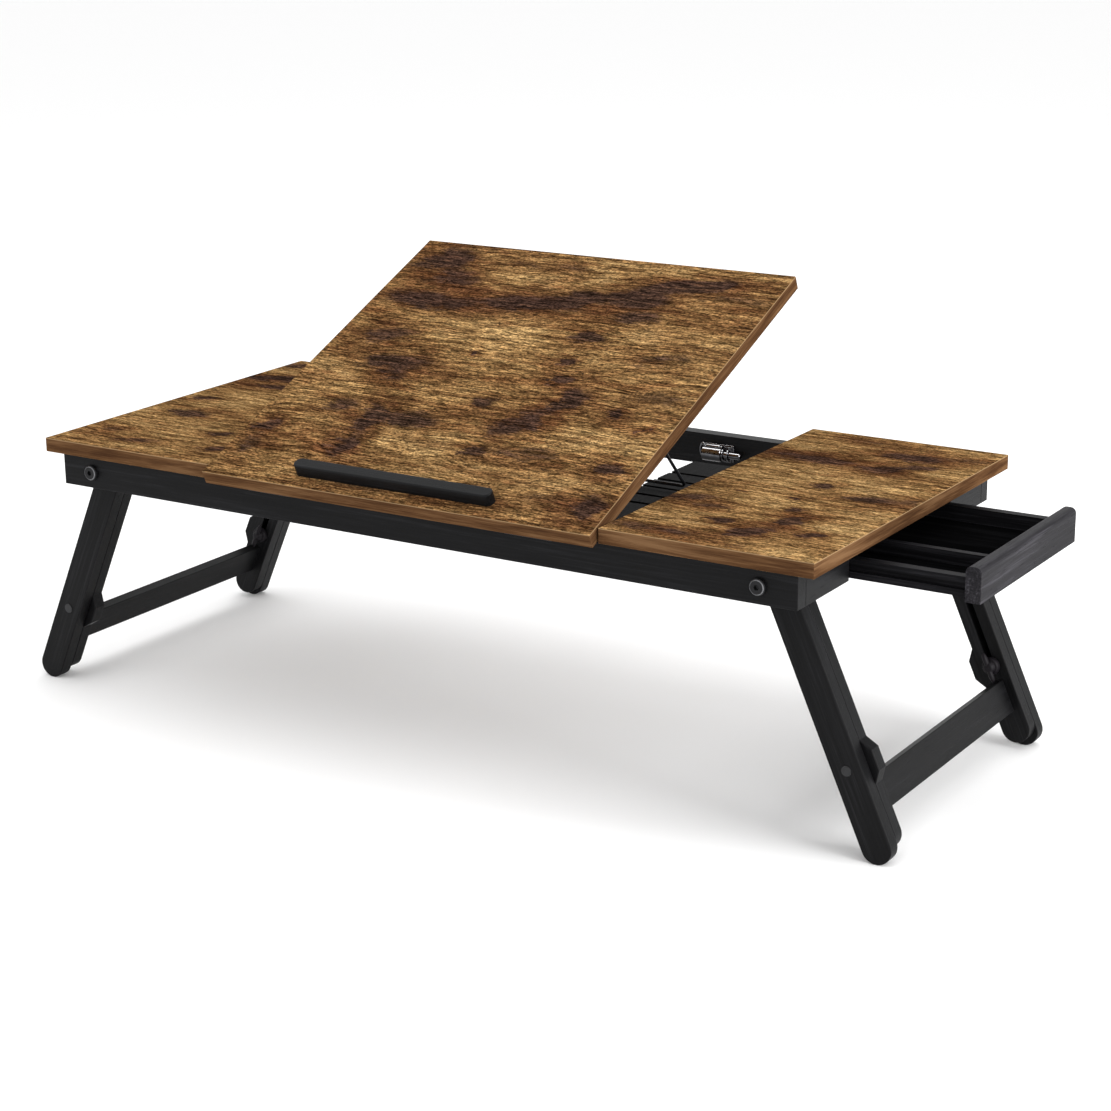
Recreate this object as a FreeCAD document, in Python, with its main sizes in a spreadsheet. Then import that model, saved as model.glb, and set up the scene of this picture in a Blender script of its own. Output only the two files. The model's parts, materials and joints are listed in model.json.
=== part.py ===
import FreeCAD, Part
import math
import os
import Sketcher
from FreeCAD import Placement, Rotation, Vector

# Laptop stand for bed or floor: a table top in three panels, the middle one tilting on a wire prop,
# a drawer that opens at the right end, and two pairs of legs that fold under and slide longer.
# Places are first given in the table's frame: x from the left end of the top, y from the front edge
# of the side panels, z from the top surface. Every piece is then set about the part's origin, which
# lies on the floor below the middle of the part's box at rest.

document = FreeCAD.newDocument("laptop_stand")
sheet = document.addObject("Spreadsheet::Sheet", "sizes")


# Sizes: a value that knows its number and its formula in the sheet

class Size:
    def __init__(self, value, text):
        self.value = float(value)
        self.text = text

    def join(self, other, sign, value, turned=False):
        other_text = other.text if isinstance(other, Size) else repr(other)
        pair = (other_text, self.text) if turned else (self.text, other_text)
        return Size(value, "(%s %s %s)" % (pair[0], sign, pair[1]))

    def __add__(self, other):
        return self.join(other, "+", self.value + number(other))

    def __radd__(self, other):
        return self.join(other, "+", number(other) + self.value, True)

    def __sub__(self, other):
        return self.join(other, "-", self.value - number(other))

    def __rsub__(self, other):
        return self.join(other, "-", number(other) - self.value, True)

    def __mul__(self, other):
        return self.join(other, "*", self.value * number(other))

    def __rmul__(self, other):
        return self.join(other, "*", number(other) * self.value, True)

    def __truediv__(self, other):
        return self.join(other, "/", self.value / number(other))

    def __neg__(self):
        return Size(-self.value, "(0 - %s)" % self.text)


def number(value):
    return value.value if isinstance(value, Size) else float(value)


def words(value):
    return value.text if isinstance(value, Size) else repr(float(value))


def sine(angle):
    return Size(math.sin(math.radians(angle.value)), "sin(%s)" % angle.text)


def cosine(angle):
    return Size(math.cos(math.radians(angle.value)), "cos(%s)" % angle.text)


def size(name, value):
    """Writes one driving dimension to the sheet, in millimetres, degrees or a plain count or ratio."""
    size.row += 1
    cell = "B%d" % size.row
    sheet.set("A%d" % size.row, name)
    sheet.set(cell, str(value))
    sheet.setAlias(cell, name)
    return Size(value, "sizes.%s" % name)


size.row = 0

# Table top
top_long = size("top_long", 720)
top_deep = size("top_deep", 350)
panel_thick = size("panel_thick", 12)
side_long = size("side_long", 176)
panel_gap = size("panel_gap", 1.5)
panel_lift = size("panel_lift", 0.1)
centre_overhang = size("centre_overhang", 4)
panel_edge = size("panel_edge", 0.8)

# Frame under the top
rail_thick = size("rail_thick", 13)
rail_tall = size("rail_tall", 27)
end_overhang = size("end_overhang", 15)
front_overhang = size("front_overhang", 5)
end_rail_thick = size("end_rail_thick", 10.5)
end_rail_front_stop = size("end_rail_front_stop", 88)
end_rail_back_inset = size("end_rail_back_inset", 80)
rail_edge = size("rail_edge", 0.6)

# Tilt and its hinges
tilt_angle = size("tilt_angle", 23.1)
hinge_drop = size("hinge_drop", 2.8)
hinge_inset = size("hinge_inset", 2.4)
hinge_from_end = size("hinge_from_end", 60)
leaf_long = size("leaf_long", 42)
leaf_thick = size("leaf_thick", 1)
leaf_reach = size("leaf_reach", 13)
knuckle_radius = size("knuckle_radius", 2.2)
knuckle_gap = size("knuckle_gap", 0.2)
leaf_gap = size("leaf_gap", 0.3)
hinge_pin_radius = size("hinge_pin_radius", 1)
hinge_screw_radius = size("hinge_screw_radius", 1.2)
hinge_screw_long = size("hinge_screw_long", 8)
hinge_screw_pitch = size("hinge_screw_pitch", 26)

# Wire prop of the tilting panel
prop_back = size("prop_back", 134)
prop_long = size("prop_long", 70)
prop_ratio = size("prop_ratio", 3.03)
wire_radius = size("wire_radius", 1.3)
wire_bend = size("wire_bend", 5)
prop_from_end = size("prop_from_end", 22)
prop_hook = size("prop_hook", 16)
clip_wide = size("clip_wide", 8)
clip_deep = size("clip_deep", 9)
clip_wall = size("clip_wall", 0.9)
clip_roof = size("clip_roof", 0.3)

# Stepped racks that take the prop's foot
rack_reach = size("rack_reach", 64)
rack_riser = size("rack_riser", 14)
rack_thick = size("rack_thick", 5.2)
rack_top = size("rack_top", 4.6)
rack_front = size("rack_front", 66)
rack_back_inset = size("rack_back_inset", 90)
groove_first = size("groove_first", 126)
groove_pitch = size("groove_pitch", 23.5)
groove_count = size("groove_count", 5)
groove_radius = size("groove_radius", 2.3)

# Book stop on the tilting panel
ledge_long = size("ledge_long", 186)
ledge_left = size("ledge_left", 85)
ledge_back = size("ledge_back", 13)
ledge_deep = size("ledge_deep", 11)
ledge_tall = size("ledge_tall", 10)
ledge_corner = size("ledge_corner", 5.4)
ledge_edge = size("ledge_edge", 1.2)

# Legs
pivot_inset = size("pivot_inset", 46)
pivot_drop = size("pivot_drop", 13.5)
leg_lean = size("leg_lean", 24)
leg_span = size("leg_span", 210)
leg_radius = size("leg_radius", 12)
leg_thick = size("leg_thick", 12)
leg_lane = size("leg_lane", 11)
leg_gap = size("leg_gap", 0.2)
leg_edge = size("leg_edge", 0.8)
inner_start = size("inner_start", 21)
inner_short = size("inner_short", 6)
slot_start = size("slot_start", 75)
clamp_down = size("clamp_down", 149)
shoulder_out = size("shoulder_out", 6.5)
shoulder_half = size("shoulder_half", 17)
shoulder_flat = size("shoulder_flat", 8)
slot_clear = size("slot_clear", 0.3)
bar_start = size("bar_start", 162.5)
bar_wide = size("bar_wide", 27)
bar_inner = size("bar_inner", 3.3)
bar_thick = size("bar_thick", 8)

# Fasteners of the legs
pivot_bolt_radius = size("pivot_bolt_radius", 3)
pivot_head_radius = size("pivot_head_radius", 6.5)
pivot_head_tall = size("pivot_head_tall", 3.6)
pivot_head_edge = size("pivot_head_edge", 1.2)
socket_radius = size("socket_radius", 2.3)
socket_deep = size("socket_deep", 2)
spacer_radius = size("spacer_radius", 8)
nut_radius = size("nut_radius", 5.8)
nut_tall = size("nut_tall", 5)
clamp_bolt_radius = size("clamp_bolt_radius", 2.5)
clamp_head_radius = size("clamp_head_radius", 4)
clamp_head_tall = size("clamp_head_tall", 2.5)
clamp_head_proud = size("clamp_head_proud", 0.4)
knob_hub_radius = size("knob_hub_radius", 8)
knob_hub_tall = size("knob_hub_tall", 5.5)
knob_edge = size("knob_edge", 1)
knob_tall = size("knob_tall", 9.5)
wing_reach = size("wing_reach", 13)
wing_radius = size("wing_radius", 2.3)
fit_clear = size("fit_clear", 0.05)
turn_clear = size("turn_clear", 0.3)

# Drawer and its runners
drawer_pull = size("drawer_pull", 91)
drawer_shut_gap = size("drawer_shut_gap", 0.2)
drawer_long = size("drawer_long", 191)
drawer_near = size("drawer_near", 90)
drawer_far_inset = size("drawer_far_inset", 82)
drawer_top = size("drawer_top", 10.2)
drawer_tall = size("drawer_tall", 15)
drawer_wall = size("drawer_wall", 8)
drawer_floor = size("drawer_floor", 3)
divider_near = size("divider_near", 150)
divider_wall = size("divider_wall", 6)
divider_low = size("divider_low", 1.8)
front_wall = size("front_wall", 12)
front_proud = size("front_proud", 3)
front_top = size("front_top", 1)
front_tall = size("front_tall", 27)
front_round = size("front_round", 4.5)
runner_clear = size("runner_clear", 2)
runner_web = size("runner_web", 8)
runner_tall = size("runner_tall", 22)
tongue_reach = size("tongue_reach", 3)
tongue_tall = size("tongue_tall", 4.4)
tongue_down = size("tongue_down", 15.5)
runner_gap = size("runner_gap", 0.3)

# Spring catches on the back rail
catch_inset = size("catch_inset", 274)
catch_long = size("catch_long", 30)
catch_plate_thick = size("catch_plate_thick", 1.2)
catch_plate_tall = size("catch_plate_tall", 15)
catch_down = size("catch_down", 15)
catch_radius = size("catch_radius", 4.4)
catch_tab = size("catch_tab", 6)
catch_tab_hole = size("catch_tab_hole", 1.4)
catch_collar = size("catch_collar", 3)
catch_collar_size = size("catch_collar_size", 9.6)
catch_bore_radius = size("catch_bore_radius", 2.9)
catch_bolt_reach = size("catch_bolt_reach", 9)
catch_bolt_long = size("catch_bolt_long", 22)
catch_travel = size("catch_travel", 4)

overrun = size("overrun", 1)

# Places worked out from the sizes, in the table's frame
frame_top = -panel_thick
frame_low = frame_top - rail_tall
rail_front_face = front_overhang + rail_thick
rail_back_face = top_deep - rail_front_face
centre_long = top_long - 2 * side_long - 2 * panel_gap
centre_left = side_long + panel_gap
centre_right = top_long - centre_left
centre_deep = top_deep + centre_overhang
hinge_down = frame_top - hinge_drop
panel_under = hinge_drop + panel_lift
panel_front = centre_overhang + hinge_inset
pivot_down = frame_top - pivot_drop
floor_down = pivot_down - leg_span * cosine(leg_lean) - leg_radius
outer_front = rail_front_face + leg_lane
outer_back = top_deep - outer_front
inner_front = outer_front + leg_thick + leg_gap
inner_back = top_deep - inner_front
inner_face_front = inner_front + leg_thick
inner_face_back = top_deep - inner_face_front
end_rail_back_stop = top_deep - end_rail_back_inset
rack_back = top_deep - rack_back_inset
drawer_far = top_deep - drawer_far_inset
runner_start = centre_right + panel_gap + rack_riser + runner_clear
front_inner_x = top_long - end_overhang + drawer_shut_gap + drawer_pull
drawer_start = front_inner_x - drawer_long
prop_height = panel_under - clip_roof - wire_radius - fit_clear

# The part's origin: middle of the box at rest, on the floor
box_left = pivot_inset - leg_span * sine(leg_lean) - leg_radius
box_right = front_inner_x + front_wall
tilt_corner_back = (panel_front - panel_edge) * cosine(tilt_angle)
tilt_corner_up = (panel_under + panel_thick - panel_edge) * sine(tilt_angle)
box_front = hinge_inset - tilt_corner_back - tilt_corner_up - panel_edge
box_back = top_deep
centre_across = (box_left + box_right) / 2
centre_deep_wise = (box_front + box_back) / 2


# Ways of making a piece

PIECES = []


def bind(thing, path, value):
    """Ties a property to the sheet, or sets it where the value is a plain number."""
    if isinstance(value, Size):
        thing.setExpression(path, value.text)
    else:
        setattr(thing, path, value)


def set_place(thing, at, turn_axis=(0, 0, 1), turn=0.0):
    """Puts an object at a place, turned about one axis; at and turn may be sizes."""
    base = Vector(*[number(value) for value in at])
    thing.Placement = Placement(base, Rotation(Vector(*turn_axis), number(turn)))
    for letter, value in zip("xyz", at):
        if isinstance(value, Size):
            thing.setExpression("Placement.Base." + letter, value.text)
    if isinstance(turn, Size):
        thing.setExpression("Placement.Rotation.Angle", turn.text)


def keep(thing, name, at=(0, 0, 0), turn_axis=(0, 0, 1), turn=0.0):
    """Names a sub-part and sets it in the part's frame, from a place in the table's frame."""
    thing.Label = name
    x, y, z = at
    set_place(thing, (x - centre_across, y - centre_deep_wise, z - floor_down), turn_axis, turn)
    PIECES.append(thing)
    return thing


PLANES = {"XY": "XY_Plane", "XZ": "XZ_Plane", "YZ": "YZ_Plane"}


class Body:
    """One PartDesign body whose sketches are bound to sizes."""

    def __init__(self, name):
        self.name = name
        self.body = document.addObject("PartDesign::Body", name)
        self.count = 0

    def title(self, word):
        self.count += 1
        return "%s_%s_%d" % (self.name, word, self.count)

    def sketch(self, plane, level):
        drawing = self.body.newObject("Sketcher::SketchObject", self.title("sketch"))
        role = PLANES[plane]
        side = [item for item in self.body.Origin.OriginFeatures if item.Role == role][0]
        drawing.AttachmentSupport = [(side, "")]
        drawing.MapMode = "FlatFace"
        lift = -level if plane == "XZ" else level
        if isinstance(lift, Size):
            drawing.setExpression("AttachmentOffset.Base.z", lift.text)
        return drawing

    def fix(self, drawing, item, point, along, value):
        kind = "DistanceX" if along == 0 else "DistanceY"
        if isinstance(value, Size) or value != 0:
            index = drawing.addConstraint(Sketcher.Constraint(kind, -1, 1, item, point, number(value)))
            drawing.setExpression("Constraints[%d]" % index, words(value))
        else:
            holder = -2 if along == 0 else -1
            drawing.addConstraint(Sketcher.Constraint("PointOnObject", item, point, holder))

    def outline(self, drawing, points):
        """Adds a closed outline of straight lines through points given as pairs of sizes."""
        corners = [Vector(number(x), number(y), 0) for x, y in points]
        first = drawing.GeometryCount
        for place, corner in enumerate(corners):
            following = corners[(place + 1) % len(corners)]
            drawing.addGeometry(Part.LineSegment(corner, following), False)
        for place, (x, y) in enumerate(points):
            item = first + place
            before = first + (place - 1) % len(points)
            drawing.addConstraint(Sketcher.Constraint("Coincident", before, 2, item, 1))
            self.fix(drawing, item, 1, 0, x)
            self.fix(drawing, item, 1, 1, y)

    def rectangle(self, drawing, low, high):
        self.outline(drawing, [(low[0], low[1]), (high[0], low[1]), (high[0], high[1]), (low[0], high[1])])

    def circle(self, drawing, centre, radius):
        middle = Vector(number(centre[0]), number(centre[1]), 0)
        item = drawing.addGeometry(Part.Circle(middle, Vector(0, 0, 1), number(radius)), False)
        self.fix(drawing, item, 3, 0, centre[0])
        self.fix(drawing, item, 3, 1, centre[1])
        index = drawing.addConstraint(Sketcher.Constraint("Radius", item, number(radius)))
        drawing.setExpression("Constraints[%d]" % index, words(radius))

    def pad(self, plane, drawing, length):
        """Adds material from the sketch towards the plane's positive side."""
        feature = self.body.newObject("PartDesign::Pad", self.title("pad"))
        feature.Profile = drawing
        feature.Reversed = plane == "XZ"
        bind(feature, "Length", length)
        drawing.Visibility = False
        return feature

    def pocket(self, plane, drawing, length):
        """Takes material away from the sketch towards the plane's positive side."""
        document.recompute()
        before = self.body.Shape.Volume
        feature = self.body.newObject("PartDesign::Pocket", self.title("pocket"))
        feature.Profile = drawing
        feature.Reversed = plane != "XZ"
        bind(feature, "Length", length)
        document.recompute()
        if self.body.Shape.Volume >= before:
            raise RuntimeError("pocket cuts nothing in " + self.name)
        return feature

    def ease(self, radius, choose=None):
        """Rounds the edges that the choice accepts, or all of them."""
        document.recompute()
        base = self.body.Tip
        names = []
        for place, edge in enumerate(base.Shape.Edges):
            if choose is None or choose(edge):
                names.append("Edge%d" % (place + 1))
        feature = self.body.newObject("PartDesign::Fillet", self.title("fillet"))
        feature.Base = (base, names)
        bind(feature, "Radius", radius)
        return feature

    def slab(self, low, high):
        """A first block from its lowest to its highest corner."""
        drawing = self.sketch("XY", low[2])
        self.rectangle(drawing, low, high)
        return self.pad("XY", drawing, high[2] - low[2])


def box(low, high):
    """A plain block between two corners given in sizes."""
    thing = document.addObject("Part::Box", "block")
    for name, start, stop in zip(("Length", "Width", "Height"), low, high):
        bind(thing, name, stop - start)
    set_place(thing, low)
    return thing


TURNS = {"X": ((0, 1, 0), 90.0), "Y": ((1, 0, 0), -90.0), "Z": ((0, 0, 1), 0.0)}


def rod(centre, radius, length, along):
    """A cylinder that starts at a centre and runs along a positive axis."""
    thing = document.addObject("Part::Cylinder", "rod")
    bind(thing, "Radius", radius)
    bind(thing, "Height", length)
    set_place(thing, centre, *TURNS[along])
    return thing


def cone(centre, start_radius, end_radius, length, along):
    thing = document.addObject("Part::Cone", "cone")
    bind(thing, "Radius1", start_radius)
    bind(thing, "Radius2", end_radius)
    bind(thing, "Height", length)
    set_place(thing, centre, *TURNS[along])
    return thing


def join(*things):
    thing = document.addObject("Part::MultiFuse", "joined")
    thing.Shapes = list(things)
    thing.Refine = True
    return thing


def cut(base, *tools):
    for tool in tools:
        result = document.addObject("Part::Cut", "cut")
        result.Base = base
        result.Tool = tool
        base = result
    return base


def group(things):
    thing = document.addObject("Part::Compound", "group")
    thing.Links = list(things)
    return thing


# Table panels

def side_panel(name, left):
    piece = Body(name)
    piece.slab((0, 0, 0), (side_long, top_deep, panel_thick))
    piece.ease(panel_edge)
    keep(piece.body, name, (left, 0, frame_top))


side_panel("panel_left", 0)
side_panel("panel_right", centre_right + panel_gap)

hinge_centres = (hinge_from_end, centre_long - hinge_from_end)
screw_steps = (-hinge_screw_pitch / 2, hinge_screw_pitch / 2)
leaf_screw_back = (knuckle_radius + 2 * leaf_gap + leaf_reach) / 2


def centre_panel():
    """The tilting panel, in the frame of its hinge axis."""
    piece = Body("panel_centre")
    back = centre_deep - panel_front
    piece.slab((0, -panel_front, panel_under), (centre_long, back, panel_under + panel_thick))
    piece.ease(panel_edge)
    drawing = piece.sketch("XY", panel_under)
    for middle in hinge_centres:
        for step in screw_steps:
            piece.circle(drawing, (middle + step, leaf_screw_back), hinge_screw_radius)
    piece.pocket("XY", drawing, hinge_screw_long - leaf_thick)
    keep_tilted(piece.body, "panel_centre", centre_left)


def keep_tilted(thing, name, left):
    """Sets a piece that is drawn about the hinge axis on the tilted panel."""
    return keep(thing, name, (left, hinge_inset, hinge_down), (1, 0, 0), tilt_angle)


centre_panel()

# Frame rails

rail_long = top_long - 2 * end_overhang
fixed_leaf_low = panel_under - 2 * leaf_thick - leaf_gap
mortise_deep = hinge_drop - fixed_leaf_low


def long_rail(name, y, hinged):
    piece = Body(name)
    piece.slab((0, 0, 0), (rail_long, rail_thick, rail_tall))
    piece.ease(rail_edge)
    if hinged:
        drawing = piece.sketch("XY", rail_tall - mortise_deep)
        for middle in hinge_centres:
            x = centre_left - end_overhang + middle
            half = leaf_long / 2 + knuckle_gap
            back = hinge_inset + leaf_reach + knuckle_gap - front_overhang
            piece.rectangle(drawing, (x - half, -overrun), (x + half, back))
        piece.pocket("XY", drawing, mortise_deep + overrun)
        drawing = piece.sketch("XY", rail_tall - mortise_deep - hinge_screw_long + leaf_thick)
        for middle in hinge_centres:
            for step in screw_steps:
                x = centre_left - end_overhang + middle + step
                y_screw = hinge_inset + leaf_screw_back - front_overhang
                piece.circle(drawing, (x, y_screw), hinge_screw_radius)
        piece.pocket("XY", drawing, hinge_screw_long)
    drawing = piece.sketch("XZ", -overrun)
    for x in (pivot_inset - end_overhang, rail_long - pivot_inset + end_overhang):
        piece.circle(drawing, (x, rail_tall - pivot_drop), pivot_bolt_radius + fit_clear)
    piece.pocket("XZ", drawing, rail_thick + 2 * overrun)
    keep(piece.body, name, (end_overhang, y, frame_low))


long_rail("rail_front", front_overhang, True)
long_rail("rail_back", rail_back_face, False)


def end_rail(name, x, start, stop):
    piece = Body(name)
    piece.slab((0, 0, 0), (end_rail_thick, stop - start, rail_tall))
    piece.ease(rail_edge)
    keep(piece.body, name, (x, start, frame_low))


end_rail("rail_end_left", end_overhang, rail_front_face, rail_back_face)
right_rail_x = top_long - end_overhang - end_rail_thick
end_rail("rail_end_right_front", right_rail_x, rail_front_face, end_rail_front_stop)
end_rail("rail_end_right_back", right_rail_x, end_rail_back_stop, rail_back_face)

# Hinges of the tilting panel, drawn about their axis

knuckle_long = leaf_long / 3
outer_knuckles = (-leaf_long / 2, leaf_long / 6)
inner_knuckle = (-leaf_long / 6,)


def hinge_screw(x, y, z, up):
    """A countersunk screw whose flat head is flush at z, pointing up or down."""
    if up:
        head = cone((x, y, z), 2 * hinge_screw_radius, hinge_screw_radius, leaf_thick, "Z")
        shank = rod((x, y, z), hinge_screw_radius, hinge_screw_long, "Z")
    else:
        head = cone((x, y, z - leaf_thick), hinge_screw_radius, 2 * hinge_screw_radius, leaf_thick, "Z")
        shank = rod((x, y, z - hinge_screw_long), hinge_screw_radius, hinge_screw_long, "Z")
    return join(head, shank)


def hinge_leaf(name, middle, starts, low, tongue_low, up):
    high = low + leaf_thick
    back = knuckle_radius + 2 * leaf_gap
    plates = [box((-leaf_long / 2, back, low), (leaf_long / 2, leaf_reach, high))]
    for start in starts:
        begin = start + knuckle_gap / 2
        plates.append(box((begin, 0, tongue_low), (start + knuckle_long - knuckle_gap / 2, back, high)))
        plates.append(rod((begin, 0, 0), knuckle_radius, knuckle_long - knuckle_gap, "X"))
    solid = join(*plates)
    bore_start = -leaf_long / 2 - overrun
    holes = [rod((bore_start, 0, 0), hinge_pin_radius + fit_clear, leaf_long + 2 * overrun, "X")]
    for step in screw_steps:
        holes.append(hinge_screw(step, leaf_screw_back, low if up else high, up))
    solid = cut(solid, *holes)
    if up:
        keep_tilted(solid, name, centre_left + middle)
    else:
        keep(solid, name, (centre_left + middle, hinge_inset, hinge_down))


moving_leaf_low = panel_under - leaf_thick
moving_tongue_low = fixed_leaf_low + 2 * leaf_gap
for side, middle in zip(("left", "right"), hinge_centres):
    hinge_leaf("hinge_leaf_frame_" + side, middle, outer_knuckles, fixed_leaf_low, fixed_leaf_low, False)
    hinge_leaf("hinge_leaf_panel_" + side, middle, inner_knuckle, moving_leaf_low, moving_tongue_low, True)

pins = [rod((middle - leaf_long / 2, 0, 0), hinge_pin_radius, leaf_long, "X") for middle in hinge_centres]
keep(group(pins), "hinge_pins", (centre_left, hinge_inset, hinge_down))
frame_screws = []
panel_screws = []
for middle in hinge_centres:
    for step in screw_steps:
        frame_screws.append(hinge_screw(middle + step, leaf_screw_back, fixed_leaf_low + leaf_thick, False))
        panel_screws.append(hinge_screw(middle + step, leaf_screw_back, moving_leaf_low, True))
keep(group(frame_screws), "hinge_screws_frame", (centre_left, hinge_inset, hinge_down))
keep_tilted(group(panel_screws), "hinge_screws_panel", centre_left)


# Book stop near the front of the tilting panel

def ledge():
    piece = Body("ledge")
    top = panel_under + panel_thick
    low = (ledge_left, ledge_back - panel_front, top)
    piece.slab(low, (ledge_left + ledge_long, ledge_back - panel_front + ledge_deep, top + ledge_tall))
    low_z = number(top)
    high_z = number(top + ledge_tall)
    piece.ease(ledge_corner, lambda edge: low_z < edge.CenterOfMass.z < high_z)
    piece.ease(ledge_edge, lambda edge: edge.BoundBox.ZMin > (low_z + high_z) / 2)
    keep_tilted(piece.body, "ledge", centre_left)


ledge()

# Wire prop: a flat U with hooked ends, drawn lying in its own plane about its pivot axis

prop_angle = prop_ratio * tilt_angle


def quarter_bend(x, y, turn):
    """A quarter of a bent wire about the point x, y, in the prop's plane."""
    thing = document.addObject("Part::Torus", "bend")
    bind(thing, "Radius1", wire_bend)
    bind(thing, "Radius2", wire_radius)
    thing.Angle3 = 90.0
    set_place(thing, (x, y, 0), (0, 0, 1), turn)
    return thing


def prop_wire():
    arm_left = prop_from_end
    arm_right = centre_long - prop_from_end
    bend = wire_bend
    parts = [
        rod((arm_left + bend, 0, 0), wire_radius, prop_hook - bend, "X"),
        rod((arm_right - prop_hook, 0, 0), wire_radius, prop_hook - bend, "X"),
        quarter_bend(arm_left + bend, bend, 180.0),
        quarter_bend(arm_right - bend, bend, 270.0),
        rod((arm_left, bend, 0), wire_radius, prop_long - 2 * bend, "Y"),
        rod((arm_right, bend, 0), wire_radius, prop_long - 2 * bend, "Y"),
        quarter_bend(arm_left + bend, prop_long - bend, 90.0),
        quarter_bend(arm_right - bend, prop_long - bend, 0.0),
        rod((arm_left + bend, prop_long, 0), wire_radius, arm_right - arm_left - 2 * bend, "X"),
    ]
    back = hinge_inset + prop_back * cosine(tilt_angle) - prop_height * sine(tilt_angle)
    up = hinge_down + prop_back * sine(tilt_angle) + prop_height * cosine(tilt_angle)
    keep(join(*parts), "prop_wire", (centre_left, back, up), (1, 0, 0), tilt_angle - prop_angle)


prop_wire()


def prop_clip(name, middle):
    """A saddle clip under the panel that holds one hooked end of the wire."""
    half = clip_wide / 2
    under = prop_height - wire_radius - fit_clear - clip_wall
    block = box((middle - half, prop_back - clip_deep / 2, under),
                (middle + half, prop_back + clip_deep / 2, panel_under))
    bore = rod((middle - clip_wide, prop_back, prop_height), wire_radius + fit_clear, 2 * clip_wide, "X")
    keep_tilted(cut(block, bore), name, centre_left)


clip_step = prop_from_end + prop_hook - clip_wide / 2 - overrun
prop_clip("prop_clip_left", clip_step)
prop_clip("prop_clip_right", centre_long - clip_step)


# Grooved racks beside the opening, hung from the side panels by battens

def rack(name, x, batten_x, groove_x):
    """A board grooved across its free part; the batten fills the height between it and the panel."""
    piece = Body(name)
    deep = rack_back - rack_front
    piece.slab((0, 0, 0), (rack_reach + rack_riser, deep, rack_thick))
    drawing = piece.sketch("YZ", groove_x - x)
    for place in range(int(groove_count.value)):
        y = groove_first + place * groove_pitch - rack_front
        piece.circle(drawing, (y, rack_thick), groove_radius)
    piece.pocket("YZ", drawing, rack_reach + overrun)
    keep(piece.body, name, (x, rack_front, frame_top - rack_top - rack_thick))
    batten = box((0, 0, 0), (rack_riser, deep, rack_top))
    keep(batten, name.replace("rack", "rack_batten"), (batten_x, rack_front, frame_top - rack_top))


batten_left = centre_left - panel_gap - rack_riser
rack("rack_left", batten_left, batten_left, centre_left - panel_gap)
rack_right_x = centre_right + panel_gap - rack_reach
rack("rack_right", rack_right_x, centre_right + panel_gap, rack_right_x - overrun)


# Legs: each pair has an outer piece on the pivot and an inner piece that slides along it

SIDES = {"left": (pivot_inset, 1), "right": (top_long - pivot_inset, -1)}


def keep_leaning(thing, name, side, y):
    """Sets a piece drawn about a leg's pivot, with the leg hanging straight down."""
    x, sign = SIDES[side]
    keep(thing, name, (x, y, pivot_down), (0, 1, 0), sign * leg_lean)


def lies_flat(edge):
    """True for an edge that lies in one of a leg's two broad faces."""
    return edge.BoundBox.YLength < number(leg_edge)


def outer_leg(name, side, y):
    piece = Body(name)
    drawing = piece.sketch("XZ", 0)
    piece.rectangle(drawing, (-leg_radius, -leg_span), (leg_radius, 0))
    piece.pad("XZ", drawing, leg_thick)
    drawing = piece.sketch("XZ", 0)
    piece.circle(drawing, (0, 0), leg_radius)
    piece.circle(drawing, (0, -leg_span), leg_radius)
    piece.pad("XZ", drawing, leg_thick)
    piece.ease(leg_edge, lies_flat)
    drawing = piece.sketch("XZ", -overrun)
    piece.circle(drawing, (0, 0), pivot_bolt_radius + fit_clear)
    piece.circle(drawing, (0, -clamp_down), clamp_bolt_radius)
    piece.pocket("XZ", drawing, leg_thick + 2 * overrun)
    front = side_is_front(y)
    drawing = piece.sketch("XZ", -overrun if front else leg_thick - clamp_head_tall)
    piece.circle(drawing, (0, -clamp_down), clamp_head_radius)
    piece.pocket("XZ", drawing, clamp_head_tall + overrun)
    keep_leaning(piece.body, name, side, y)


def side_is_front(y):
    return number(y) < number(top_deep) / 2


def inner_leg(name, side, y):
    """The sliding piece, with a shoulder beside its clamp that faces right in front and left behind."""
    piece = Body(name)
    low = leg_span - inner_short
    drawing = piece.sketch("XZ", 0)
    piece.rectangle(drawing, (-leg_radius, -low), (leg_radius, -inner_start))
    piece.pad("XZ", drawing, leg_thick)
    drawing = piece.sketch("XZ", 0)
    piece.circle(drawing, (0, -inner_start), leg_radius)
    piece.circle(drawing, (0, -low), leg_radius)
    piece.pad("XZ", drawing, leg_thick)
    facing = 1 if side_is_front(y) else -1
    root, edge, peak = facing * leg_radius / 2, facing * leg_radius, facing * (leg_radius + shoulder_out)
    top, foot = shoulder_half - clamp_down, -shoulder_half - clamp_down
    high, low_flat = shoulder_flat - clamp_down, -shoulder_flat - clamp_down
    drawing = piece.sketch("XZ", 0)
    piece.outline(drawing, [(root, top), (edge, top), (peak, high), (peak, low_flat), (edge, foot), (root, foot)])
    piece.pad("XZ", drawing, leg_thick)
    piece.ease(leg_edge, lies_flat)
    slot = clamp_bolt_radius + slot_clear
    drawing = piece.sketch("XZ", -overrun)
    piece.rectangle(drawing, (-slot, -clamp_down), (slot, -slot_start))
    piece.pocket("XZ", drawing, leg_thick + 2 * overrun)
    drawing = piece.sketch("XZ", -overrun)
    piece.circle(drawing, (0, -slot_start), slot)
    piece.circle(drawing, (0, -clamp_down), slot)
    piece.pocket("XZ", drawing, leg_thick + 2 * overrun)
    keep_leaning(piece.body, name, side, y)


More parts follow.
